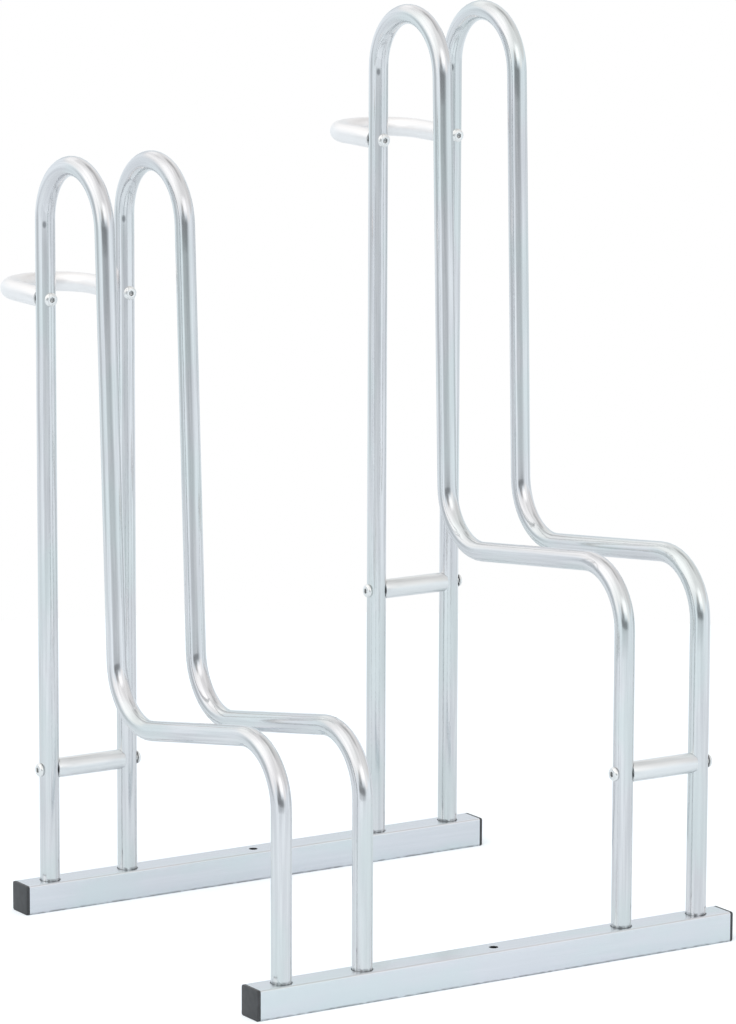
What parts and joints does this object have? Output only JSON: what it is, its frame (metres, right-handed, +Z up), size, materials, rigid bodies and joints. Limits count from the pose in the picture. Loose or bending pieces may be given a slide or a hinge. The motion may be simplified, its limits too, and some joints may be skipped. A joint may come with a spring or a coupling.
{
  "type": "floor bike stand",
  "caption": "Free-standing bicycle stand of bent round tube on square base rails, with a low and a high wheel place side by side.",
  "frame": {"origin": "on the floor, under the middle of the stand's outline", "axes": "+X from the low place to the high place, +Y from the front rail to the wheel stops, +Z up"},
  "size_m": [0.55, 0.582, 0.903],
  "materials": {
    "hoop": "satin zinc plating",
    "rail": "satin zinc plating",
    "spacer": "satin zinc plating",
    "stop": "satin zinc plating",
    "screw": "bright zinc plating",
    "insert": "plain steel",
    "cap": "fine-grained black"
  },
  "bodies": {
    "root": {"front_rail": "rail", "rear_rail": "rail", "front_left_cap": "cap", "front_right_cap": "cap", "rear_left_cap": "cap", "rear_right_cap": "cap", "low_left_hoop": "hoop", "low_right_hoop": "hoop", "high_left_hoop": "hoop", "high_right_hoop": "hoop", "low_rear_spacer": "spacer", "high_rear_spacer": "spacer", "high_front_spacer": "spacer", "low_wheel_stop": "stop", "high_wheel_stop": "stop", "low_rear_spacer_left_screw": "screw", "low_rear_spacer_left_insert": "insert", "low_rear_spacer_right_screw": "screw", "low_rear_spacer_right_insert": "insert", "high_rear_spacer_left_screw": "screw", "high_rear_spacer_left_insert": "insert", "high_rear_spacer_right_screw": "screw", "high_rear_spacer_right_insert": "insert", "high_front_spacer_left_screw": "screw", "high_front_spacer_left_insert": "insert", "high_front_spacer_right_screw": "screw", "high_front_spacer_right_insert": "insert", "low_stop_left_screw": "screw", "low_stop_left_insert": "insert", "low_stop_right_screw": "screw", "low_stop_right_insert": "insert", "high_stop_left_screw": "screw", "high_stop_left_insert": "insert", "high_stop_right_screw": "screw", "high_stop_right_insert": "insert", "low_left_front_leg_screw": "screw", "low_left_front_leg_insert": "insert", "low_left_rear_leg_screw": "screw", "low_left_rear_leg_insert": "insert", "low_right_front_leg_screw": "screw", "low_right_front_leg_insert": "insert", "low_right_rear_leg_screw": "screw", "low_right_rear_leg_insert": "insert", "high_left_front_leg_screw": "screw", "high_left_front_leg_insert": "insert", "high_left_rear_leg_screw": "screw", "high_left_rear_leg_insert": "insert", "high_right_front_leg_screw": "screw", "high_right_front_leg_insert": "insert", "high_right_rear_leg_screw": "screw", "high_right_rear_leg_insert": "insert"}
  },
  "joints": []
}
